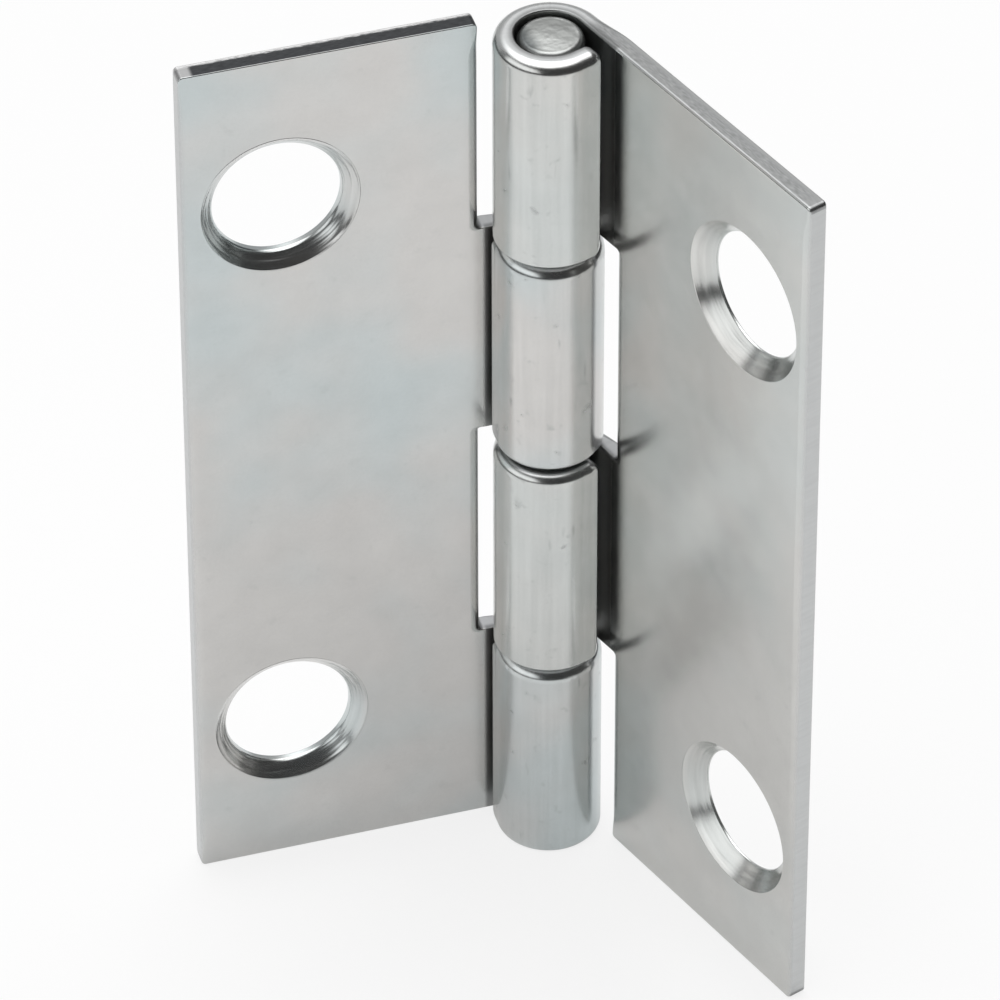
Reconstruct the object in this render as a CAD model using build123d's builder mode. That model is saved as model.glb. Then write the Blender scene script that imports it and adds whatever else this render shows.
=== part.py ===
"""Butt hinge with rolled knuckles, standing open at a book angle.

Two stamped sheet leaves turn about one wire pin. Each leaf has a flat plate with two countersunk
screw holes, and two knuckles rolled from the plate's own sheet. The plate's back runs tangent into
the roll, the sheet passes behind the pin, round its far side and back to the front, and stops short
of the plate, which leaves an open seam along each knuckle. The four knuckles take turns along the
pin, and notches in each leaf clear the other leaf's knuckles.

Frame, millimetres: the origin is on the back of the fixed leaf, midway between its screw holes.
+Y points out of that back face, +X runs along the leaf towards the pin, and +Z runs along the pin.
"""

import os
from math import cos, radians, sin

from build123d import *

# Overall sizes
hinge_height = 40.0
leaf_reach = 14.1
open_angle = 109.5

# Sheet and pin
sheet = 0.80
pin_diameter = 2.60
pin_inset = 0.10
pin_end_radius = 0.35

# Knuckles, taken in turn by the fixed leaf and the swing leaf from the bottom up
knuckle_count = 4
end_knuckle_trim = 0.25
knuckle_gap = 0.25
running_clearance = 0.09
roll_sweep = 270.0
seam_gap = 0.50

# Notches round the other leaf's knuckles
notch_clearance = 0.35

# Screw holes
hole_diameter = 5.1
countersink_diameter = 6.5
countersink_angle = 90.0
hole_to_end = 6.9
hole_to_side = 3.85

# Sheared outline
corner_radius = 0.20
edge_break = 0.12

# Sizes that follow from the ones above
fixed_radius = pin_diameter / 2 + sheet
swing_radius = fixed_radius + running_clearance
notch_reach = swing_radius + notch_clearance
end_knuckle = hinge_height / knuckle_count - end_knuckle_trim
inner_knuckle = (hinge_height - 2 * end_knuckle) / (knuckle_count - 2)
knuckle_lengths = [end_knuckle] + [inner_knuckle] * (knuckle_count - 2) + [end_knuckle]
hole_pitch = hinge_height - 2 * hole_to_end
hole_reach = leaf_reach - hole_to_side
swing_turn = radians(open_angle - 180)
pin_foot = Vector(hole_reach, -fixed_radius, -hinge_height / 2)

# Each leaf's plane: origin on the pin axis at the bottom end, y from the axis to the leaf's back face
fixed_plane = Plane(pin_foot, x_dir=(1, 0, 0), z_dir=(0, 0, 1))
swing_plane = Plane(pin_foot, x_dir=(cos(swing_turn), sin(swing_turn), 0), z_dir=(0, 0, 1))


def rolled_section(plane, outer_radius, side):
    """Returns a leaf's section: the plate, the roll round the pin axis and the roll's straight end.

    The straight end points square at the plate's front face and stops a seam gap short of it.
    side is -1 where the plate runs towards -x of the leaf's plane, and +1 where it runs towards +x.
    """
    inner_radius = outer_radius - sheet
    roll_tail = inner_radius - seam_gap
    with BuildSketch(plane) as section:
        with BuildLine():
            back = Line((side * leaf_reach, outer_radius), (0, outer_radius))
            outer_roll = CenterArc((0, 0), outer_radius, 90, side * roll_sweep)
            outer_tail = Line(outer_roll @ 1, outer_roll @ 1 + (outer_roll % 1) * roll_tail)
            front = Line((side * leaf_reach, inner_radius), (0, inner_radius))
            inner_roll = CenterArc((0, 0), inner_radius, 90, side * roll_sweep)
            inner_tail = Line(inner_roll @ 1, inner_roll @ 1 + (inner_roll % 1) * roll_tail)
            Line(back @ 0, front @ 0)
            Line(outer_tail @ 1, inner_tail @ 1)
        make_face()
    return section.sketch


def build_leaf(plane, outer_radius, side, first_notch):
    """Makes one leaf: the sheet rolled over the full height, then notched, edge-broken and drilled.

    first_notch is the lowest knuckle, counted from 0, that belongs to the other leaf.
    """
    outward = Axis(plane.origin, plane.x_dir * side)
    through = Axis(plane.origin, plane.y_dir)
    front_plane = Plane(
        plane.from_local_coords(Vector(0, outer_radius - sheet, 0)), x_dir=plane.x_dir, z_dir=-plane.y_dir
    )
    other_knuckles = range(first_notch, knuckle_count, 2)
    notch_width = notch_reach + 2 * outer_radius
    roll_margin = notch_clearance / 2
    with BuildPart() as leaf:
        extrude(rolled_section(plane, outer_radius, side), amount=hinge_height)

        # Notches, cut through plate and roll alike
        with BuildSketch(front_plane):
            for knuckle in other_knuckles:
                middle = sum(knuckle_lengths[:knuckle]) + knuckle_lengths[knuckle] / 2
                with Locations((side * (notch_reach - notch_width / 2), middle)):
                    Rectangle(notch_width, knuckle_lengths[knuckle] + knuckle_gap)
        extrude(amount=2 * outer_radius, both=True, mode=Mode.SUBTRACT)

        # Corners of the plate and of its notches, all of which lie farther out than the roll
        corners = leaf.edges().filter_by(through)
        fillet(corners.filter_by_position(outward, swing_radius + roll_margin, 2 * leaf_reach), corner_radius)

        # Sheared edges, broken all round: the ends' edges run on through the corners into the sides
        chamfer(leaf.faces().filter_by(Axis.Z).edges().filter_by(through, reverse=True), edge_break)

        # Countersunk screw holes, open towards the side that the knuckles bulge to
        with Locations(front_plane):
            with Locations((side * hole_reach, hinge_height / 2)):
                with GridLocations(0, hole_pitch, 1, 2):
                    CounterSinkHole(
                        hole_diameter / 2, countersink_diameter / 2, counter_sink_angle=countersink_angle
                    )
    return leaf


fixed_leaf = build_leaf(fixed_plane, fixed_radius, -1, first_notch=1)
swing_leaf = build_leaf(swing_plane, swing_radius, 1, first_notch=0)

with BuildPart() as hinge_pin:
    with BuildSketch(fixed_plane.offset(pin_inset)):
        Circle(pin_diameter / 2)
    extrude(amount=hinge_height - 2 * pin_inset)
    fillet(hinge_pin.edges().filter_by(GeomType.CIRCLE), pin_end_radius)

fixed_leaf.part.label = "fixed_leaf"
swing_leaf.part.label = "swing_leaf"
hinge_pin.part.label = "hinge_pin"

os.makedirs("parts", exist_ok=True)
export_step(fixed_leaf.part, "parts/fixed_leaf.step")
export_step(swing_leaf.part, "parts/swing_leaf.step")
export_step(hinge_pin.part, "parts/hinge_pin.step")
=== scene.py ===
"""Bright zinc-plated butt hinge with rolled knuckles, standing open on a pale table.

Each leaf is worked out as a flat blank in sheet coordinates: s runs along the blank from the pin
outwards, z along the pin, and d from the back face into the sheet. The blank is then bent: the
plate stays flat, and the tabs roll round the pin and end in a short straight tail. Sizes are
millimetres until a mesh is made.
"""

import logging
from dataclasses import dataclass
from enum import Enum
from typing import Any, Optional, Sequence, Union

import bpy
import numpy as np
from mathutils import Matrix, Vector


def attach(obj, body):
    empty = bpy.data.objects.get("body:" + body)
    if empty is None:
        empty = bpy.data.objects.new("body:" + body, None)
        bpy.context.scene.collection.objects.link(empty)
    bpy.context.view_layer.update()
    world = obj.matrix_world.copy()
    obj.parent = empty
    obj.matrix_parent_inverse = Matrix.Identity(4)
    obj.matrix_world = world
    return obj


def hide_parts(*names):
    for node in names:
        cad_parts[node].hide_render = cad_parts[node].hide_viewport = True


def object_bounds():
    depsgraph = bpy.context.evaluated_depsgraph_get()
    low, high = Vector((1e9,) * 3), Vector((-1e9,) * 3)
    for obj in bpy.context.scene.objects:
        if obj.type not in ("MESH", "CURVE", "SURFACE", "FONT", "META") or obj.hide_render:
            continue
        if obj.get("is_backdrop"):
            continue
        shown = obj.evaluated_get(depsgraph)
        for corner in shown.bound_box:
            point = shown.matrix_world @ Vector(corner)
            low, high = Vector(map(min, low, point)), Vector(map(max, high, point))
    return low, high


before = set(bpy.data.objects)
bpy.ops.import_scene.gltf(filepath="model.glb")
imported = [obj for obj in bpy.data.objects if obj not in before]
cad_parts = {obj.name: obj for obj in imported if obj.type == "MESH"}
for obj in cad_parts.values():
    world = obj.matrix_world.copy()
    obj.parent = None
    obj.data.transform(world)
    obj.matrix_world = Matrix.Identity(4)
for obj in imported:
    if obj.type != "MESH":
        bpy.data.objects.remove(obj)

MM = 0.001
PIN_PLACE = (10.25, -2.1)
WELD = 1e-6
ARC_STEPS = 8
NOISE_ROUGHNESS = 0.55
NOISE_MIDDLE = 0.5
Span = tuple[float, float]
Triple = tuple[float, float, float]
Colour = tuple[float, float, float, float]
WHITE: Colour = (1.0, 1.0, 1.0, 1.0)
log = logging.getLogger("hinge")


class Hand(Enum):
    """Which way up a blank is used: with its end tab at the foot, or turned over, at the head."""

    TAB_AT_FOOT = 1.0
    TAB_AT_HEAD = -1.0


class Face(Enum):
    """A face of the sheet, as the direction of its normal along d."""

    FRONT = 1.0
    BACK = -1.0


# Shader trees


class Wire:
    """An output socket of a shader tree. Arithmetic on values adds Math nodes."""

    def __init__(self, tree: "Tree", socket: Optional[bpy.types.NodeSocket]) -> None:
        """Keeps the tree and the socket."""
        self.tree = tree
        self.socket = socket

    def _maths(self, operation: str, first: "Value", second: "Value" = 0.0) -> "Wire":
        """Adds one Math node.

        Args:
            operation: Name of the Math node's operation.
            first: Left value or wire.
            second: Right value or wire.

        Returns:
            The wire of the result.
        """
        return self.tree.add("ShaderNodeMath", {"operation": operation}, {0: first, 1: second})

    def __add__(self, other: "Value") -> "Wire":
        """Sum."""
        return self._maths("ADD", self, other)

    def __radd__(self, other: "Value") -> "Wire":
        """Sum, with the wire on the right."""
        return self._maths("ADD", other, self)

    def __sub__(self, other: "Value") -> "Wire":
        """Difference."""
        return self._maths("SUBTRACT", self, other)

    def __rsub__(self, other: "Value") -> "Wire":
        """Difference, with the wire on the right."""
        return self._maths("SUBTRACT", other, self)

    def __mul__(self, other: "Value") -> "Wire":
        """Product."""
        return self._maths("MULTIPLY", self, other)

    def __rmul__(self, other: "Value") -> "Wire":
        """Product, with the wire on the right."""
        return self._maths("MULTIPLY", other, self)

    def __pow__(self, other: "Value") -> "Wire":
        """Power."""
        return self._maths("POWER", self, other)

    def __abs__(self) -> "Wire":
        """Absolute value."""
        return self._maths("ABSOLUTE", self)


Value = Union[float, Wire]


class Tree:
    """A shader tree under construction."""

    def __init__(self, owner: Union[bpy.types.Material, bpy.types.World]) -> None:
        """Empties the owner's tree.

        Args:
            owner: Material or world whose nodes are made.
        """
        owner.use_nodes = True
        self.nodes = owner.node_tree.nodes
        self.links = owner.node_tree.links
        self.nodes.clear()

    def add(
        self,
        kind: str,
        settings: dict[str, Any],
        sockets: dict[Union[int, str], Any],
        out: Union[int, str] = 0,
    ) -> Wire:
        """Adds any node.

        Args:
            kind: The node's type.
            settings: Properties of the node, set before its sockets.
            sockets: Values or wires by the input's number, name or identifier.
            out: Number or name of the output that is wanted.

        Returns:
            The wire of that output, or an empty wire where the node has none.
        """
        node = self.nodes.new(kind)
        for name, value in settings.items():
            setattr(node, name, value)
        by_name = {s.name: s for s in reversed(node.inputs) if s.enabled}
        by_name.update({s.identifier: s for s in node.inputs})
        for key, value in sockets.items():
            socket = node.inputs[key] if isinstance(key, int) else by_name[key]
            if isinstance(value, Wire):
                self.links.new(value.socket, socket)
            else:
                socket.default_value = value
        if not node.outputs:
            return Wire(self, None)
        by_out = {s.name: s for s in reversed(node.outputs) if s.enabled}
        by_out.update({s.identifier: s for s in node.outputs})
        return Wire(self, node.outputs[out] if isinstance(out, int) else by_out[out])

    def attribute(self, name: str, out: str = "Fac") -> Wire:
        """Reads an attribute of the mesh: Fac for a number, Vector for a vector."""
        return self.add("ShaderNodeAttribute", {"attribute_name": name}, {}, out)

    def split(self, vector: Wire) -> tuple[Wire, Wire, Wire]:
        """Takes a vector apart.

        Args:
            vector: The vector's wire.

        Returns:
            Wires of its x, y and z.
        """
        kind = "ShaderNodeSeparateXYZ"
        x, y, z = (self.add(kind, {}, {0: vector}, axis) for axis in range(3))
        return x, y, z

    def vector(self, x: Value, y: Value, z: Value) -> Wire:
        """Puts a vector together from three values."""
        return self.add("ShaderNodeCombineXYZ", {}, {0: x, 1: y, 2: z})

    def noise(self, vector: Wire, pattern: "Pattern") -> Wire:
        """Adds a pattern's noise, of about 0 to 1.

        Args:
            vector: Where the noise is read.
            pattern: The pattern, for its scale and detail.

        Returns:
            The wire of its value.
        """
        sockets = {
            "Vector": vector,
            "Scale": pattern.scale,
            "Detail": pattern.detail,
            "Roughness": NOISE_ROUGHNESS,
        }
        return self.add("ShaderNodeTexNoise", {"noise_dimensions": "3D"}, sockets, "Fac")

    def stretched(self, values: Sequence[Wire], pattern: "Pattern") -> Wire:
        """Adds a pattern's noise, read at three values that are each scaled.

        Args:
            values: The three values.
            pattern: The pattern, for its stretch, scale and detail.

        Returns:
            The wire of its value.
        """
        scaled = (v if by == 1.0 else v * by for v, by in zip(values, pattern.stretch))
        return self.noise(self.vector(*scaled), pattern)

    def step(self, value: Wire, low: float, high: float) -> Wire:
        """Adds a smooth step.

        Args:
            value: What is compared.
            low: Value at which the step leaves 0.
            high: Value at which the step reaches 1.

        Returns:
            The wire of the step.
        """
        sockets = {"Value": value, "From Min": low, "From Max": high}
        return self.add("ShaderNodeMapRange", {"interpolation_type": "SMOOTHSTEP"}, sockets)

    def blend(self, share: Value, under: Union[Colour, Wire], over: Union[Colour, Wire]) -> Wire:
        """Mixes two colours.

        Args:
            share: How much of the second colour shows.
            under: First colour.
            over: Second colour.

        Returns:
            The wire of the mixed colour.
        """
        sockets = {"Factor_Float": share, "A_Color": under, "B_Color": over}
        return self.add("ShaderNodeMix", {"data_type": "RGBA"}, sockets, "Result_Color")

    def shade(self, colour: Union[Colour, Wire], value: Wire) -> Wire:
        """Scales a colour by a value."""
        first = colour if isinstance(colour, Wire) else colour[:3]
        return self.add("ShaderNodeVectorMath", {"operation": "SCALE"}, {0: first, "Scale": value})

    def relief(self, microns: Wire) -> Wire:
        """Turns a height in thousandths of a millimetre into a bumped normal."""
        sockets = {"Strength": 1.0, "Distance": MM * MM, "Height": microns}
        return self.add("ShaderNodeBump", {}, sockets, "Normal")

    def metal(self, colour: Wire, roughness: Wire, normal: Wire) -> None:
        """Ends a material as bare metal.

        Args:
            colour: Wire of the reflected colour.
            roughness: Wire of the roughness.
            normal: Wire of the bumped normal.
        """
        sockets = {"Base Color": colour, "Metallic": 1.0, "Roughness": roughness, "Normal": normal}
        surface = self.add("ShaderNodeBsdfPrincipled", {}, sockets)
        self.add("ShaderNodeOutputMaterial", {}, {"Surface": surface})


# Finishes


@dataclass(frozen=True)
class Pattern:
    """A noise in a finish, and how much of it goes into lightness, roughness and height.

    The scale is in features to a millimetre, and the stretch scales each of the three values that
    the noise is read at. The edge is the pair of levels between which a pattern of two states turns
    from one to the other. Height is in thousandths of a millimetre.
    """

    detail: float
    scale: float = 1.0
    stretch: Triple = (1.0, 1.0, 1.0)
    edge: Span = (0.0, 1.0)
    light: float = 0.0
    rough: float = 0.0
    height: float = 0.0


@dataclass(frozen=True)
class ZincSheet:
    """Bright zinc on rolled and stamped sheet, whose patterns go round the knuckles with it.

    Places along the sheet are millimetres, and places through it are shares of its thickness. Each
    is a pair, between which one look passes into the other.
    """

    name: str
    # Colours of the cropped ends' torn and burnished bands; on the left leaf they are painted shade
    # and a painted highlight
    torn: Colour
    burnished_and_highlight: Colour
    torn_rough: float
    ring_height: float = 16.0
    cool: Colour = (0.585, 0.635, 0.640, 1.0)
    warm: Colour = (0.655, 0.645, 0.630, 1.0)
    fleck: Colour = (0.33, 0.34, 0.34, 1.0)
    sheared: Colour = (0.56, 0.57, 0.57, 1.0)
    # Colour of painted shade on the notches' sheared edges, next to the gaps between the knuckles
    painted_notch_shade: Colour = (0.33, 0.335, 0.34, 1.0)
    tint: Pattern = Pattern(2.0, 0.11, edge=(0.36, 0.64))
    clouds: Pattern = Pattern(3.0, 0.55, light=0.16, rough=0.06)
    grain: Pattern = Pattern(2.0, 9.0, light=0.08, rough=0.04)
    flecks: Pattern = Pattern(3.0, 1.5, edge=(0.60, 0.78), rough=0.2, height=-0.8)
    streaks: Pattern = Pattern(3.0, stretch=(3.2, 0.12, 1.0), light=0.22, height=1.6)
    dashes: Pattern = Pattern(2.0, stretch=(2.4, 0.5, 1.0), edge=(0.66, 0.80))
    score: Pattern = Pattern(1.0, stretch=(7.0, 7.0, 0.7), light=0.14, height=1.2)
    specks: Pattern = Pattern(2.0, 3.2, light=1.3, height=4.0)
    rings: Pattern = Pattern(1.0, stretch=(6.5, 0.35, 0.35), light=0.35)
    waves: Pattern = Pattern(1.0, 0.20, stretch=(1.0, 1.0, 0.2), height=14.0)
    peel: Pattern = Pattern(2.0, 2.6, height=0.7)
    depth_stretch: float = 6.0
    plated_light: float = 0.86
    scored_light: float = 0.93
    torn_light: float = 0.35
    # Share of painted shade inside the roll and on the plate behind its tail
    recess_shade: float = 0.50
    flecked_plate: float = 0.08
    flecked_roll: float = 0.34
    dashed_roll: float = 0.45
    torn_wander: float = 0.3
    torn_fade: float = 0.5
    plated_rough: float = 0.17
    bored_rough: float = 0.02
    dulled_rough: float = 0.1
    sheared_rough: float = 0.12
    roll_to_plate: Span = (-1.0, 1.0)
    crop_below_end: Span = (0.30, 0.22)
    crop_from_roll: Span = (0.0, 1.2)
    burnished_to_torn: Span = (0.10, 0.32)
    torn_inside_reach: Span = (0.65, 0.45)
    notch_start: Span = (0.4, 1.4)
    notch_stop: Span = (2.6, 2.9)
    dull_shade_through: Span = (0.6, 0.9)
    dull_shade_stop: Span = (2.12, 2.32)

    def material(self, leaf: "RolledLeaf") -> bpy.types.Material:
        """Makes the material.

        Args:
            leaf: The leaf that it is for, which gives the places of its holes and ends.

        Returns:
            The material.
        """
        material = bpy.data.materials.new(self.name)
        tree = Tree(material)
        sheet = s, z, d = tree.split(tree.attribute("sheet", "Vector"))
        cut, hole = tree.attribute("cut"), tree.attribute("hole")
        place = tree.vector(s, z, d * self.depth_stretch)
        rolled = 1.0 - tree.step(s, *self.roll_to_plate)

        # Passivated zinc: broad cool and warm clouds, small clouds and flecks, denser on the roll
        tint = tree.step(tree.noise(place, self.tint), *self.tint.edge)
        clouds = tree.noise(place, self.clouds)
        grain = tree.noise(place, self.grain)
        flecks = tree.step(tree.noise(place, self.flecks), *self.flecks.edge)
        flecks = flecks * (self.flecked_plate + rolled * self.flecked_roll)
        streaks = tree.stretched(sheet, self.streaks)
        dashes = tree.step(tree.stretched(sheet, self.dashes), *self.dashes.edge) * rolled
        light = self.plated_light + clouds * self.clouds.light + grain * self.grain.light
        light = light + (streaks - NOISE_MIDDLE) * rolled * self.streaks.light
        colour = tree.shade(tree.blend(tint, self.cool, self.warm), light)
        colour = tree.blend(flecks + dashes * self.dashed_roll, colour, self.fleck)

        # Sheared edges are lightly scored across the sheet. The plate's cropped ends are burnished
        # next to the back, where the blade went in, and torn next to the front, though less so at
        # the outer corners. Each leaf gives the colours of these two bands; the left leaf's
        # near-black torn colour is painted shade, and its light burnished colour a painted highlight
        score = tree.stretched(sheet, self.score)
        specks = tree.noise(place, self.specks)
        cropped = tree.step(abs(z), *(leaf.height / 2 - inset for inset in self.crop_below_end))
        cropped = cropped * cut * tree.step(s, *self.crop_from_roll)
        wandering = d + (specks - NOISE_MIDDLE) * self.torn_wander
        torn = tree.step(wandering, *(leaf.sheet * share for share in self.burnished_to_torn))
        corner = tree.step(s, *(leaf.reach - inset for inset in self.torn_inside_reach))
        torn = cropped * torn * (1.0 - corner * self.torn_fade)
        # The notches' sheared edges, next to the gaps between the knuckles, are darkened as painted
        # shade
        painted_notch_shade = tree.step(s, *self.notch_start) * (1.0 - tree.step(s, *self.notch_stop))
        sheared = tree.blend(painted_notch_shade * (1.0 - cropped), self.sheared, self.painted_notch_shade)
        sheared = tree.blend(cropped, sheared, self.burnished_and_highlight)
        tear = tree.shade(self.torn, self.torn_light + specks * self.specks.light)
        sheared = tree.blend(torn, sheared, tear)
        sheared = tree.shade(sheared, self.scored_light + score * self.score.light)
        colour = tree.blend(cut, colour, sheared)

        # Countersinks have rings left by the tool
        radius = ((s - leaf.hole_reach) ** 2.0 + (abs(z) - leaf.hole_height) ** 2.0) ** 0.5
        rings = tree.stretched((radius, s, z), self.rings)
        colour = tree.shade(colour, 1.0 + (rings - NOISE_MIDDLE) * hole * self.rings.light)

        # Plating is thin and dull inside the roll and on the plate behind its tail, which the
        # roughness gives; the colour there is darkened as painted shade
        inside = tree.step(d, *(leaf.sheet * share for share in self.dull_shade_through))
        inside = inside * (1.0 - tree.step(s, *self.dull_shade_stop))
        colour = tree.shade(colour, 1.0 - inside * self.recess_shade)

        roughness = self.plated_rough + clouds * self.clouds.rough + grain * self.grain.rough
        roughness = roughness + flecks * self.flecks.rough + hole * self.bored_rough
        roughness = roughness + inside * self.dulled_rough
        roughness = roughness + cut * (1.0 - torn) * self.sheared_rough + torn * self.torn_rough
        waves = tree.stretched(sheet, self.waves) * self.waves.height
        peel = tree.noise(place, self.peel) * self.peel.height + flecks * self.flecks.height
        marks = streaks * rolled * self.streaks.height + score * cut * self.score.height
        marks = marks + specks * torn * self.specks.height + rings * hole * self.ring_height
        tree.metal(colour, roughness, tree.relief(waves + peel + marks))
        return material


@dataclass(frozen=True)
class ZincWire:
    """Bright zinc on drawn wire with cropped ends, which are darker on one side, towards -x."""

    name: str
    plated: Colour = (0.62, 0.63, 0.63, 1.0)
    cropped: Colour = (0.38, 0.39, 0.38, 1.0)
    dark_side: Colour = (0.13, 0.14, 0.14, 1.0)
    drawn: Pattern = Pattern(3.0, stretch=(5.0, 5.0, 0.15), light=0.2, height=2.0)
    clouds: Pattern = Pattern(4.0, 1.1, light=0.30, rough=0.08)
    torn: Pattern = Pattern(4.0, stretch=(1.2, 4.0, 1.0), light=0.35, height=6.0)
    pits: Pattern = Pattern(2.0, 1.5, height=45.0)
    plated_light: float = 0.80
    plated_rough: float = 0.24
    cropped_rough: float = 0.10
    dark_side_wander: float = 0.4
    dark_side_edge: Span = (-0.80, -0.25)

    def material(self) -> bpy.types.Material:
        """Makes the material.

        Returns:
            The material.
        """
        material = bpy.data.materials.new(self.name)
        tree = Tree(material)
        wire = tree.attribute("wire", "Vector")
        spot = x, _, _ = tree.split(wire)
        end = tree.attribute("end")
        side = 1.0 - end
        drawn = tree.stretched(spot, self.drawn)
        clouds = tree.noise(wire, self.clouds)
        torn = tree.stretched(spot, self.torn)
        pits = tree.noise(wire, self.pits)
        # Each end's colour is darker towards -x
        dark_side_share = (1.0 - tree.step(x + pits * self.dark_side_wander, *self.dark_side_edge)) * end
        colour = tree.blend(end, self.plated, self.cropped)
        colour = tree.blend(dark_side_share, colour, self.dark_side)
        light = self.plated_light + clouds * self.clouds.light
        light = light + (drawn - NOISE_MIDDLE) * side * self.drawn.light
        light = light + (torn - NOISE_MIDDLE) * end * self.torn.light
        roughness = self.plated_rough + clouds * self.clouds.rough + end * self.cropped_rough
        height = torn * self.torn.height + pits * self.pits.height
        height = drawn * side * self.drawn.height + height * end
        tree.metal(tree.shade(colour, light), roughness, tree.relief(height))
        return material


# Surfaces


@dataclass(frozen=True)
class Corner:
    """A turn of a blank's outline, or a plain stop on a straight run where the radius is 0."""

    s: float
    z: float
    radius: float = 0.0
    stop: str = ""
    pitch: float = 0.25
    steps: int = 0


@dataclass(frozen=True)
class Outline:
    """A closed run round a blank, metal on its left, with the direction out of the metal."""

    points: np.ndarray
    outward: np.ndarray
    stops: dict[str, tuple[int, int]]

    @classmethod
    def trace(cls, corners: Sequence[Corner]) -> "Outline":
        """Rounds the corners of a polygon and divides its runs.

        On an arc the outward direction turns evenly from the right of the run that arrives to the
        right of the run that leaves, and the point is the arc's centre plus, at a hollow corner
        minus, the radius times that direction.

        Args:
            corners: The polygon's corners and stops in order.

        Returns:
            The outline.
        """
        spots = np.array([(c.s, c.z) for c in corners])
        radii = np.array([[c.radius] for c in corners])
        leaving = np.roll(spots, -1, axis=0) - spots
        leaving = leaving / np.linalg.norm(leaving, axis=1, keepdims=True)
        arriving = np.roll(leaving, 1, axis=0)
        turn = arriving[:, 0] * leaving[:, 1] - arriving[:, 1] * leaving[:, 0]
        before = np.column_stack([arriving[:, 1], -arriving[:, 0]])
        after = np.column_stack([leaving[:, 1], -leaving[:, 0]])
        starts, ends = spots - radii * arriving, spots + radii * leaving
        centres = starts + radii * leaving
        sweep = np.linspace(0.0, np.pi / 2, ARC_STEPS + 1)[:, None]
        points, outward, stops, count = [], [], {}, 0
        for i, corner in enumerate(corners):
            if corner.radius:
                out = np.cos(sweep) * before[i] + np.sin(sweep) * after[i]
                arc = centres[i] + turn[i] * corner.radius * out
            else:
                arc, out = spots[i : i + 1], after[i : i + 1]
            stops[corner.stop] = (count, count + len(arc) - 1)
            gap = starts[(i + 1) % len(corners)] - ends[i]
            steps = corner.steps or max(1, round(float(np.linalg.norm(gap)) / corner.pitch))
            run = ends[i] + np.arange(1, steps)[:, None] / steps * gap
            points += [arc, run]
            outward += [out, np.repeat(after[i : i + 1], len(run), axis=0)]
            count += len(arc) + len(run)
        return cls(np.concatenate(points), np.concatenate(outward), stops)


class Skin:
    """Gathers grids of points with their normals and marks, and welds them into one closed skin."""

    def __init__(self) -> None:
        """Starts with no grid."""
        self.points: list[np.ndarray] = []
        self.normals: list[np.ndarray] = []
        self.marks: list[np.ndarray] = []
        self.triangles: list[np.ndarray] = []
        self.count = 0

    def grid(
        self, points: np.ndarray, normals: np.ndarray, marks: np.ndarray, closed: bool = False
    ) -> None:
        """Adds one grid, each of its cells as two triangles.

        Args:
            points: Points in rows and columns, the last axis holding three coordinates.
            normals: Normals, in a shape that spreads over the points.
            marks: Marks, in a shape that spreads over rows and columns, the last axis holding them.
            closed: Whether the last column joins the first.
        """
        rows, columns = points.shape[:2]
        index = self.count + np.arange(rows * columns).reshape(rows, columns)
        if closed:
            index = np.concatenate([index, index[:, :1]], axis=1)
        a, b, c, d = index[:-1, :-1], index[:-1, 1:], index[1:, 1:], index[1:, :-1]
        self.triangles.append(np.stack([a, b, c, a, c, d], axis=-1).reshape(-1, 3))
        self.points.append(points.reshape(-1, 3))
        self.normals.append(np.broadcast_to(normals, points.shape).reshape(-1, 3))
        width = marks.shape[-1]
        self.marks.append(np.broadcast_to(marks, (rows, columns, width)).reshape(-1, width))
        self.count += rows * columns

    def weld(self) -> tuple[np.ndarray, np.ndarray, np.ndarray, np.ndarray]:
        """Merges points that coincide and drops triangles that close up.

        Returns:
            Points, normals, marks and triangles.
        """
        points = np.concatenate(self.points)
        _, first, inverse = np.unique(
            np.round(points / WELD).astype(np.int64), axis=0, return_index=True, return_inverse=True
        )
        triangles = inverse.reshape(-1)[np.concatenate(self.triangles)]
        a, b, c = triangles.T
        triangles = triangles[(a != b) & (b != c) & (c != a)]
        normals, marks = np.concatenate(self.normals), np.concatenate(self.marks)
        return points[first], normals[first], marks[first], triangles


def make_piece(
    name: str,
    points: np.ndarray,
    normals: np.ndarray,
    triangles: np.ndarray,
    attributes: dict[str, np.ndarray],
) -> bpy.types.Object:
    """Makes an object at the origin from a welded skin.

    A triangle whose own normal, the product of two of its sides, points against the sum of its
    corners' normals is turned round.

    Args:
        name: Name of the piece.
        points: Points in millimetres.
        normals: Normal at each point.
        triangles: Three point numbers each.
        attributes: Numbers or vectors at each point, by attribute name.

    Returns:
        The object.
    """
    p, q, r = (points[triangles[:, i]] for i in range(3))
    against = (np.cross(q - p, r - p) * normals[triangles].sum(axis=1)).sum(axis=1) < 0
    triangles = np.where(against[:, None], triangles[:, ::-1], triangles)
    mesh = bpy.data.meshes.new(name)
    mesh.from_pydata(points * MM, [], triangles)
    mesh.polygons.foreach_set("use_smooth", np.ones(len(triangles), dtype=bool))
    for key, values in attributes.items():
        kind, field = ("FLOAT", "value") if values.ndim == 1 else ("FLOAT_VECTOR", "vector")
        layer = mesh.attributes.new(key, kind, "POINT")
        layer.data.foreach_set(field, values.astype(np.float32).ravel())
    mesh.normals_split_custom_set_from_vertices(normals)
    mesh.update()
    piece = bpy.data.objects.new(name, mesh)
    bpy.context.scene.collection.objects.link(piece)
    log.info("%s: %d triangles", name, len(triangles))
    return piece


# Sub-assemblies


@dataclass(frozen=True)
class Arris:
    """Widths of one face's arris, along the plate's ends and sides and the knuckles' ends and tips.

    It is a quarter circle, but on the plate's sides a quarter ellipse whose depth is a share of its
    width.
    """

    plate_end: float
    plate_side: float
    knuckle_foot: float = 0.08
    knuckle_head: float = 0.08
    knuckle_tip: float = 0.08
    side_depth: float = 1.0


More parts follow.
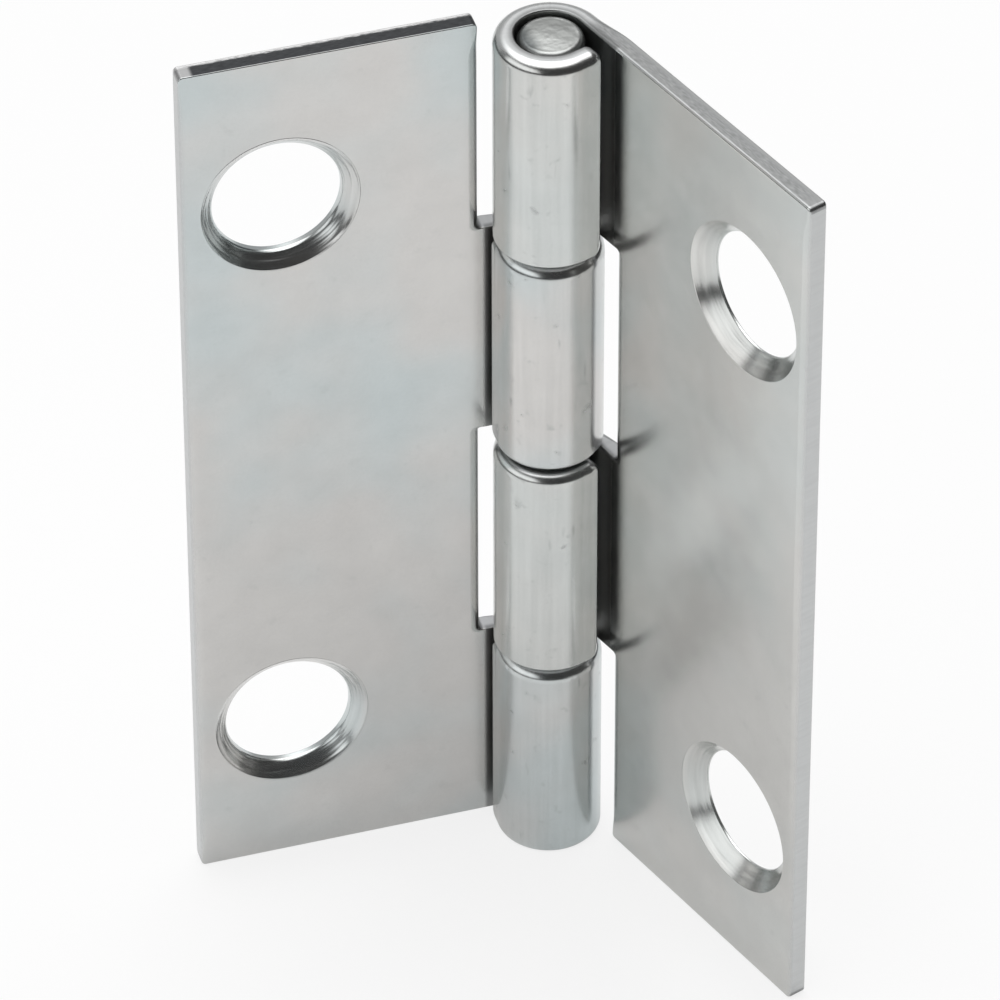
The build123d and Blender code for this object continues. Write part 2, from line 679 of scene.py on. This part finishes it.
@dataclass(frozen=True)
class RolledLeaf:
    """One leaf: a stamped plate with two countersunk holes and two tabs rolled into knuckles."""

    name: str
    node: str
    body: str
    finish: ZincSheet
    hand: Hand
    roll_radius: float
    plate_heading: float
    back_heading: float
    front_arris: Arris
    back_arris: Arris
    pin_place: tuple[float, float] = PIN_PLACE
    slot: str = "zinc_sheet"
    height: float = 40.0
    reach: float = 14.1
    sheet: float = 0.80
    notch_reach: float = 2.54
    corner: float = 0.20
    tip_corner: float = 0.45
    arris_run: float = 1.5
    end_knuckle: float = 9.75
    knuckle_gap: float = 0.25
    roll_sweep: float = 1.5 * np.pi
    seam_gap: float = 0.50
    hole_reach: float = 10.25
    hole_height: float = 13.1
    rim_radius: float = 3.25
    bore_radius: float = 2.55
    cone_half_angle: float = np.radians(45.0)
    rim_lip: float = 0.08
    bore_lip: float = 0.12
    back_lip: float = 0.04
    lip_points: int = 7
    cut_falloff: int = 4
    bored_from: float = np.radians(30.0)
    tab_steps: int = 20
    tab_pitch: float = 0.09
    plate_rows: tuple[float, ...] = (0.0, 0.02, 0.08, 0.22, 0.40, 0.60, 0.78, 0.92, 0.98, 1.0)
    split: float = -2.5

    @property
    def tip(self) -> float:
        """Where the blank ends on s, past the roll's arc and the straight tail."""
        return -(self.roll_radius * (self.roll_sweep + 1.0) - self.sheet - self.seam_gap)

    def outline(self) -> Outline:
        """Traces the blank with its end tab at the foot.

        Returns:
            The outline, with stops where the tabs join the plate and where the plate is split.
        """
        end, half_gap, r, tip = self.height / 2, self.knuckle_gap / 2, self.corner, self.tip_corner
        low = -end + self.end_knuckle - half_gap
        high = end - self.end_knuckle - half_gap
        fine = {"pitch": self.tab_pitch}
        across = {"steps": self.tab_steps}
        return Outline.trace(
            [
                Corner(self.notch_reach, -end, stop="foot"),
                Corner(self.reach, -end, r, "outer_foot"),
                Corner(self.reach, self.split, stop="outer_split"),
                Corner(self.reach, end, r, "outer_head"),
                Corner(self.notch_reach, end, r, "inner_head"),
                Corner(self.notch_reach, high, r, "upper_out", **fine),
                Corner(self.tip, high, tip, "upper_tip", **across),
                Corner(self.tip, half_gap, tip, "upper_back", **fine),
                Corner(self.notch_reach, half_gap, r, "upper_in"),
                Corner(self.notch_reach, self.split, stop="inner_split"),
                Corner(self.notch_reach, low, r, "lower_out", **fine),
                Corner(self.tip, low, tip, "lower_tip", **across),
                Corner(self.tip, -end, tip, "lower_back", **fine),
                Corner(self.notch_reach - r, -end, stop="foot_root", steps=ARC_STEPS),
            ]
        )

    def hole_profile(self) -> tuple[np.ndarray, np.ndarray, np.ndarray]:
        """Works out the countersunk hole's section.

        The normal's angle b turns from 0 at the front to a half turn at the back, in three arcs:
        the rim lip, the lip between cone and bore, and the back lip. Each point is its arc's centre
        plus the arc's radius times (-sin b, cos b). Cone and bore run straight between the arcs.

        Returns:
            Radius, depth d and the angle b of each point.
        """
        lean = np.pi / 2 - self.cone_half_angle
        cone_foot = self.sheet - (self.rim_radius - self.bore_radius) / np.tan(self.cone_half_angle)
        rim, bore, back = self.rim_lip, self.bore_lip, self.back_lip
        bore_centre = cone_foot - bore * np.tan(np.pi / 4 - lean / 2)
        arcs = [
            (0.0, lean, rim, self.rim_radius + rim * np.tan(lean / 2), self.sheet - rim),
            (lean, np.pi / 2, bore, self.bore_radius + bore, bore_centre),
            (np.pi / 2, np.pi, back, self.bore_radius + back, back),
        ]
        turns = [np.linspace(start, stop, self.lip_points) for start, stop, *_ in arcs]
        radius = np.concatenate([c - lip * np.sin(b) for b, (_, _, lip, c, _) in zip(turns, arcs)])
        depth = np.concatenate([c + lip * np.cos(b) for b, (_, _, lip, _, c) in zip(turns, arcs)])
        return radius, depth, np.concatenate(turns)

    def blank(self) -> Skin:
        """Covers the flat blank with grids.

        Each half of the plate is a ring of rows that pass straight from its outline to the hole's
        edge. A tab is ruled straight across between its two sides. The sheared edge is the profile
        of two rounded arrises and a flat, carried round the outline. The holes are revolved.

        Returns:
            The grids in sheet coordinates.
        """
        skin, line = Skin(), self.outline()
        stops, flat = line.stops, np.zeros((1, 1, 2))
        radius, depth, turn = self.hole_profile()
        rows = np.array(self.plate_rows)[:, None, None]
        between = np.arange(1, self.tab_steps)[:, None] / self.tab_steps
        angles: list[np.ndarray] = []
        for face, inset, deep in (
            (Face.FRONT, self.arris(self.front_arris, line)[0], self.sheet),
            (Face.BACK, self.arris(self.back_arris, line)[0], 0.0),
        ):
            ring = line.points - inset * line.outward
            normal = np.array([0.0, 0.0, face.value])
            bridge = {
                name: ring[a] + between * (ring[b] - ring[a])
                for name, a, b in (
                    ("upper", stops["upper_out"][0], stops["upper_in"][1]),
                    ("lower", stops["lower_out"][0], 0),
                    ("split", stops["inner_split"][0], stops["outer_split"][0]),
                )
            }
            upper = np.concatenate(
                [
                    ring[stops["outer_split"][0] : stops["upper_out"][0] + 1],
                    bridge["upper"],
                    ring[stops["upper_in"][1] : stops["inner_split"][0] + 1],
                    bridge["split"],
                ]
            )
            lower = np.concatenate(
                [
                    ring[stops["inner_split"][0] : stops["lower_out"][0] + 1],
                    bridge["lower"],
                    ring[: stops["outer_split"][0] + 1],
                    bridge["split"][::-1],
                ]
            )
            edge = radius[0] if face is Face.FRONT else radius[-1]
            for number, (loop, side) in enumerate(((upper, 1.0), (lower, -1.0))):
                centre = np.array([self.hole_reach, side * self.hole_height])
                if face is Face.FRONT:
                    angles.append(np.arctan2(*(loop - centre).T[::-1]))
                around = np.column_stack([np.cos(angles[number]), np.sin(angles[number])])
                plate = (1.0 - rows) * loop + rows * (centre + edge * around)
                skin.grid(self._at_depth(plate, deep), normal, flat, closed=True)
            whole = np.concatenate([ring, ring[:1]])
            for out, tip, back, join in (
                ("upper_out", "upper_tip", "upper_back", stops["upper_in"][1]),
                ("lower_out", "lower_tip", "lower_back", len(ring)),
            ):
                one = whole[stops[out][0] : stops[tip][1] + 1]
                other = whole[stops[back][0] : join + 1][::-1]
                across = np.linspace(0.0, 1.0, self.tab_steps + 1)[None, :, None]
                tab = (1.0 - across) * one[:, None] + across * other[:, None]
                skin.grid(self._at_depth(tab, deep), normal, flat)
        self._sheared_edge(skin, line)
        for angle, side in zip(angles, (1.0, -1.0)):
            s = self.hole_reach + radius[:, None] * np.cos(angle)
            z = side * self.hole_height + radius[:, None] * np.sin(angle)
            lean = -np.sin(turn)[:, None]
            face_on = np.broadcast_to(np.cos(turn)[:, None], s.shape)
            normals = np.stack([lean * np.cos(angle), lean * np.sin(angle), face_on], axis=-1)
            points = np.stack([s, z, np.broadcast_to(depth[:, None], s.shape)], axis=-1)
            bored = np.clip(np.sin(turn) / np.sin(self.bored_from), 0.0, 1.0)
            marks = np.stack([np.zeros_like(bored), bored], axis=-1)[:, None]
            skin.grid(points, normals, marks, closed=True)
        return skin

    @staticmethod
    def _at_depth(points: np.ndarray, depth: float) -> np.ndarray:
        """Gives a grid of flat points one depth."""
        return np.concatenate([points, np.full(points.shape[:2] + (1,), depth)], axis=-1)

    def arris(self, sizes: Arris, line: Outline) -> tuple[np.ndarray, np.ndarray]:
        """Gives the size of an arris at each point of the outline.

        Along the sides, where the outward direction's part along s is all of it, the width passes
        from the ends' to the sides' over a short run from each end. It passes on to the knuckles'
        between the notch's foot and the start of the roll, both times by the smooth step
        3 w^2 - 2 w^3 of the way gone. Round a tab's tip it passes from the end's to the tip's with
        the square of the outward direction's part along z.

        Args:
            sizes: The widths of this arris.
            line: The blank's outline.

        Returns:
            One column of widths in the face and one of depths.
        """
        s, z = line.points[:, :1], line.points[:, 1:]
        ways = (
            (self.height / 2 - self.corner - abs(z)) / self.arris_run,
            (self.notch_reach - self.corner - s) / self.roll_radius,
        )
        gone = (np.clip(way, 0.0, 1.0) for way in ways)
        inwards, rolled = (w * w * (3.0 - 2.0 * w) for w in gone)
        side = inwards * line.outward[:, :1] ** 2
        plate = sizes.plate_end + (sizes.plate_side - sizes.plate_end) * side
        upright = self.hand.value * line.outward[:, 1:]
        knuckle_end = np.where(upright > 0.0, sizes.knuckle_head, sizes.knuckle_foot)
        knuckle = sizes.knuckle_tip + (knuckle_end - sizes.knuckle_tip) * upright**2
        width = plate + (knuckle - plate) * rolled
        return width, width * (1.0 + (sizes.side_depth - 1.0) * side * (1.0 - rolled))

    def _sheared_edge(self, skin: Skin, line: Outline) -> None:
        """Carries the edge's profile round the outline.

        The angle b turns from the front, 0, through the outward direction to the back, a half turn.
        A point lies inside the outline by the arris width times (1 - sin b), and below its face by
        the arris depth times (1 - |cos b|). The normal is depth times sin b outwards and width
        times cos b to the front, brought to unit length.

        Args:
            skin: Where the grid is added.
            line: The blank's outline.
        """
        quarter = np.linspace(0.0, np.pi / 2, ARC_STEPS + 1)
        turn = np.concatenate([quarter, quarter + np.pi / 2])[:, None]
        front, back = (self.arris(sizes, line) for sizes in (self.front_arris, self.back_arris))
        at_front = np.arange(len(turn))[:, None] <= ARC_STEPS
        width, sunk = (np.where(at_front, a.T, b.T) for a, b in zip(front, back))
        drop = sunk * (1.0 - np.abs(np.cos(turn)))
        depth = np.where(at_front, self.sheet - drop, drop)
        flat = line.points[None] - (width * (1.0 - np.sin(turn)))[..., None] * line.outward[None]
        points = np.concatenate([flat, depth[..., None]], axis=-1)
        out = (sunk * np.sin(turn))[..., None] * line.outward[None]
        normals = np.concatenate([out, (width * np.cos(turn))[..., None]], axis=-1)
        normals = normals / np.linalg.norm(normals, axis=-1, keepdims=True)
        marks = np.stack([np.sin(turn) ** self.cut_falloff, np.zeros_like(turn)], axis=-1)
        skin.grid(points, normals, marks, closed=True)

    def bend(self, points: np.ndarray, normals: np.ndarray) -> tuple[np.ndarray, np.ndarray]:
        """Bends the blank.

        With f the angle rolled so far, -s over the roll radius kept between 0 and the full sweep, a
        point is the plate's part of s outwards, plus (roll radius - d) along the radial direction
        (-sin f, cos f), plus the tail's part of s along (-cos f, -sin f), in axes that point
        outwards along the plate and towards its back. A normal's parts along s and d turn by f.

        Args:
            points: Points in sheet coordinates.
            normals: Normals in sheet coordinates.

        Returns:
            Points and normals in the hinge's frame.
        """
        s, z, d = points.T
        rolled = np.clip(-s / self.roll_radius, 0.0, self.roll_sweep)
        tail = np.maximum(-s - self.roll_radius * self.roll_sweep, 0.0)
        sine, cosine = np.sin(rolled), np.cos(rolled)
        outer = self.roll_radius - d
        along = np.maximum(s, 0.0) - outer * sine - tail * cosine
        behind = outer * cosine - tail * sine
        along_normal = normals[:, 0] * cosine + normals[:, 2] * sine
        behind_normal = normals[:, 0] * sine - normals[:, 2] * cosine
        plate, back = (
            np.array([np.cos(np.radians(a)), np.sin(np.radians(a))])
            for a in (self.plate_heading, self.back_heading)
        )
        place = np.array(self.pin_place) + along[:, None] * plate + behind[:, None] * back
        lean = along_normal[:, None] * plate + behind_normal[:, None] * back
        return np.column_stack([place, z]), np.column_stack([lean, normals[:, 1]])

    def build(self) -> bpy.types.Object:
        """Returns:
            The leaf's object.
        """
        points, normals, marks, triangles = self.blank().weld()
        turned = np.array([1.0, self.hand.value, 1.0])
        points, normals = points * turned, normals * turned
        bent, bent_normals = self.bend(points, normals)
        attributes = {"sheet": points, "cut": marks[:, 0], "hole": marks[:, 1]}
        piece = make_piece(self.name, bent, bent_normals, triangles, attributes)
        piece.data.materials.append(self.finish.material(self))
        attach(piece, self.body)
        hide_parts(self.node)
        return piece


@dataclass(frozen=True)
class WirePin:
    """The plain pin through the knuckles: drawn wire with softly rounded, cropped ends."""

    name: str
    node: str
    body: str
    finish: ZincWire
    place: tuple[float, float] = PIN_PLACE
    slot: str = "zinc_wire"
    radius: float = 1.30
    half_length: float = 19.97
    end_round: float = 0.27
    end_fall: float = 0.36
    end_dome: float = 0.06
    dome_points: int = 9
    sides: int = 120

    def build(self) -> bpy.types.Object:
        """The section is revolved about the axis. The end is a shallow dome, falling with the square
        of the radius, and a quarter of an ellipse, longer than it is wide, takes it into the side.

        Returns:
            The pin's object.
        """
        flat = self.radius - self.end_round
        disc = np.linspace(0.0, flat, self.dome_points, endpoint=False)
        slope = 2.0 * self.end_dome * disc / flat**2
        turn = np.linspace(0.0, np.pi / 2, ARC_STEPS + 1)
        radius = np.concatenate([disc, flat + self.end_round * np.sin(turn)])
        fall = self.end_dome * (disc / flat) ** 2
        rim = self.end_dome + self.end_fall * (1.0 - np.cos(turn))
        height = self.half_length - np.concatenate([fall, rim])
        rim_lean = np.arctan2(self.end_fall * np.sin(turn), self.end_round * np.cos(turn))
        lean = np.concatenate([np.arctan(slope), rim_lean])
        end = np.concatenate([np.ones_like(disc), np.cos(turn) ** 2])
        radius, end = np.concatenate([radius, radius[::-1]]), np.concatenate([end, end[::-1]])
        height = np.concatenate([height, -height[::-1]])
        lean = np.concatenate([lean, np.pi - lean[::-1]])
        angle = np.linspace(0.0, 2 * np.pi, self.sides, endpoint=False)
        around = np.stack([np.cos(angle), np.sin(angle)], axis=-1)[None]
        tall = np.broadcast_to(height[:, None, None], (len(height), self.sides, 1))
        points = np.concatenate([radius[:, None, None] * around, tall], axis=-1)
        up = np.broadcast_to(np.cos(lean)[:, None, None], tall.shape)
        normals = np.concatenate([np.sin(lean)[:, None, None] * around, up], axis=-1)
        skin = Skin()
        skin.grid(points, normals, end[:, None, None], closed=True)
        spots, leans, marks, triangles = skin.weld()
        placed = spots + np.array([*self.place, 0.0])
        piece = make_piece(self.name, placed, leans, triangles, {"wire": spots, "end": marks[:, 0]})
        piece.data.materials.append(self.finish.material())
        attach(piece, self.body)
        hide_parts(self.node)
        return piece


@dataclass(frozen=True)
class Table:
    """The pale table under the hinge, which isn't part of it."""

    height: float
    half_size: float = 220.0
    paint: Colour = (0.86, 0.86, 0.86, 1.0)
    seen_white: float = 0.80
    mirrored_white: float = 0.35
    grid_points: int = 9

    def build(self) -> bpy.types.Object:
        """Makes the table top as a flat grid, dresses and stages it.

        Returns:
            The table's object.
        """
        side = np.linspace(-self.half_size, self.half_size, self.grid_points)
        x, y = np.meshgrid(side, side)
        skin = Skin()
        points = np.stack([x, y, np.full_like(x, self.height)], axis=-1)
        skin.grid(points, np.array([0.0, 0.0, 1.0]), np.zeros((1, 1, 1)))
        spots, normals, _, triangles = skin.weld()
        table = make_piece("pale_table", spots, normals, triangles, {})
        table.data.materials.append(self.material())
        table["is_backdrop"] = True
        return table

    def material(self) -> bpy.types.Material:
        """Makes matt white paint that the camera, and in part a mirror, sees as plain white.

        Returns:
            The material.
        """
        material = bpy.data.materials.new("matt_white_table")
        tree = Tree(material)
        seen = tree.add("ShaderNodeLightPath", {}, {}, "Is Camera Ray")
        mirrored = tree.add("ShaderNodeLightPath", {}, {}, "Is Glossy Ray")
        paint = tree.add("ShaderNodeBsdfDiffuse", {}, {"Color": self.paint})
        white = tree.add("ShaderNodeEmission", {}, {"Color": WHITE, "Strength": 1.0})
        share = seen * self.seen_white + mirrored * self.mirrored_white
        mixed = tree.add("ShaderNodeMixShader", {}, {0: share, 1: paint, 2: white})
        tree.add("ShaderNodeOutputMaterial", {}, {"Surface": mixed})
        return material


@dataclass(frozen=True)
class Studio:
    """The light tent and the camera."""

    front_light: float = 0.05
    back_light: float = 0.50
    roof_light: float = 2.92
    window_light: float = 1.25
    back_edge: Span = (0.4, 0.7)
    roof_aim: Triple = (0.0, 0.2, 0.98)
    roof_edge: Span = (0.72, 0.94)
    window_sill: Span = (0.09, 0.20)
    window_head: Span = (0.58, 0.70)
    window_front: Span = (0.52, 0.68)
    window_back: Span = (0.25, 0.40)
    camera_place: Triple = (-68.575, -259.959, 229.740)
    azimuth: float = -16.590
    elevation: float = 40.812
    roll: float = -0.098
    lens: float = 328.23
    sensor: float = 36.0
    clip: Span = (0.01, 20.0)

    def light(self) -> None:
        """Makes the tent.

        It is dim in front but for a broad window on the left, brighter at the back, brightest
        overhead, and plain white to the camera. Each part fades in over a pair of values of the
        direction: its part across, in depth or upwards, or its cosine with the roof's aim.
        """
        world = bpy.data.worlds.new("light_tent")
        bpy.context.scene.world = world
        tree = Tree(world)
        direction = tree.add("ShaderNodeTexCoord", {}, {}, "Generated")
        across, depth, rise = tree.split(direction)
        back = tree.step(depth, *self.back_edge)
        wall = self.front_light + back * (self.back_light - self.front_light)
        dot, aimed = {"operation": "DOT_PRODUCT"}, {0: direction, 1: self.roof_aim}
        roof = tree.step(tree.add("ShaderNodeVectorMath", dot, aimed, "Value"), *self.roof_edge)
        window = tree.step(rise, *self.window_sill) * (1.0 - tree.step(rise, *self.window_head))
        window = window * tree.step(0.0 - across, *self.window_front)
        window = window * (1.0 - tree.step(depth, *self.window_back))
        level = wall + roof * (self.roof_light - wall) + window * self.window_light
        seen = tree.add("ShaderNodeLightPath", {}, {}, "Is Camera Ray")
        strength = level + seen * (1.0 - level)
        sky = tree.add("ShaderNodeBackground", {}, {"Color": WHITE, "Strength": strength})
        tree.add("ShaderNodeOutputWorld", {}, {"Surface": sky})

    def camera(self) -> bpy.types.Object:
        """Makes the camera from its place, its two angles and its roll.

        Returns:
            The camera's object.
        """
        azimuth, elevation, roll = np.radians([self.azimuth, self.elevation, self.roll])
        level = np.array([np.cos(azimuth), np.sin(azimuth), 0.0])
        back = np.array(
            [
                np.sin(azimuth) * np.cos(elevation),
                -np.cos(azimuth) * np.cos(elevation),
                np.sin(elevation),
            ]
        )
        rise = np.cross(back, level)
        right = np.cos(roll) * level + np.sin(roll) * rise
        up = np.cos(roll) * rise - np.sin(roll) * level
        place = np.eye(4)
        place[:3] = np.column_stack([right, up, back, np.array(self.camera_place) * MM])
        data = bpy.data.cameras.new("photograph_view")
        data.lens, data.sensor_width, data.sensor_fit = self.lens, self.sensor, "HORIZONTAL"
        data.clip_start, data.clip_end = self.clip
        camera = bpy.data.objects.new("photograph_view", data)
        camera.matrix_world = Matrix(place.tolist())
        bpy.context.scene.collection.objects.link(camera)
        bpy.context.scene.camera = camera
        return camera


def main() -> None:
    """Builds the hinge, its table and its light."""
    logging.basicConfig(level=logging.INFO, format="%(name)s: %(message)s")
    cad_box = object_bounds()
    bpy.context.scene.view_settings.view_transform = "Standard"
    left = RolledLeaf(
        name="left_leaf_rolled_sheet",
        node="fixed_leaf",
        body="frame_side",
        finish=ZincSheet(
            "bright_zinc_left_leaf",
            # Painted shade in the near-black torn colour of the cropped ends, and a painted
            # highlight in their light burnished colour
            torn=(0.052, 0.054, 0.057, 1.0),
            burnished_and_highlight=(0.78, 0.78, 0.78, 1.0),
            torn_rough=0.15,
            ring_height=45.0,
        ),
        hand=Hand.TAB_AT_FOOT,
        roll_radius=2.1,
        plate_heading=180.0,
        back_heading=90.0,
        front_arris=Arris(plate_end=0.05, plate_side=0.40, side_depth=0.35),
        back_arris=Arris(plate_end=0.08, plate_side=0.08, knuckle_foot=0.26, knuckle_head=0.56),
        notch_reach=2.47,
        rim_radius=3.13,
        cone_half_angle=np.radians(50.0),
        bore_lip=0.20,
    )
    right = RolledLeaf(
        name="right_leaf_rolled_sheet",
        node="swing_leaf",
        body="door_side",
        finish=ZincSheet(
            "bright_zinc_right_leaf",
            cool=(0.630, 0.655, 0.645, 1.0),
            warm=(0.680, 0.675, 0.655, 1.0),
            torn=(0.29, 0.295, 0.295, 1.0),
            burnished_and_highlight=(0.35, 0.355, 0.355, 1.0),
            torn_rough=0.20,
        ),
        hand=Hand.TAB_AT_HEAD,
        roll_radius=2.19,
        plate_heading=-70.5,
        back_heading=19.5,
        front_arris=Arris(plate_end=0.14, plate_side=0.40, side_depth=0.45),
        back_arris=Arris(plate_end=0.08, plate_side=0.08, knuckle_head=0.48, knuckle_tip=0.28),
        notch_reach=2.38,
    )
    pin = WirePin("wire_pin", "hinge_pin", "frame_side", ZincWire("bright_zinc_wire"))
    for part in (left, right, pin):
        piece = part.build()
        log.info("%s rides on %s", piece.name, part.body)
    Table(height=cad_box[0][2] / MM).build()
    studio = Studio()
    studio.light()
    studio.camera()


if __name__ == "__main__":
    main()
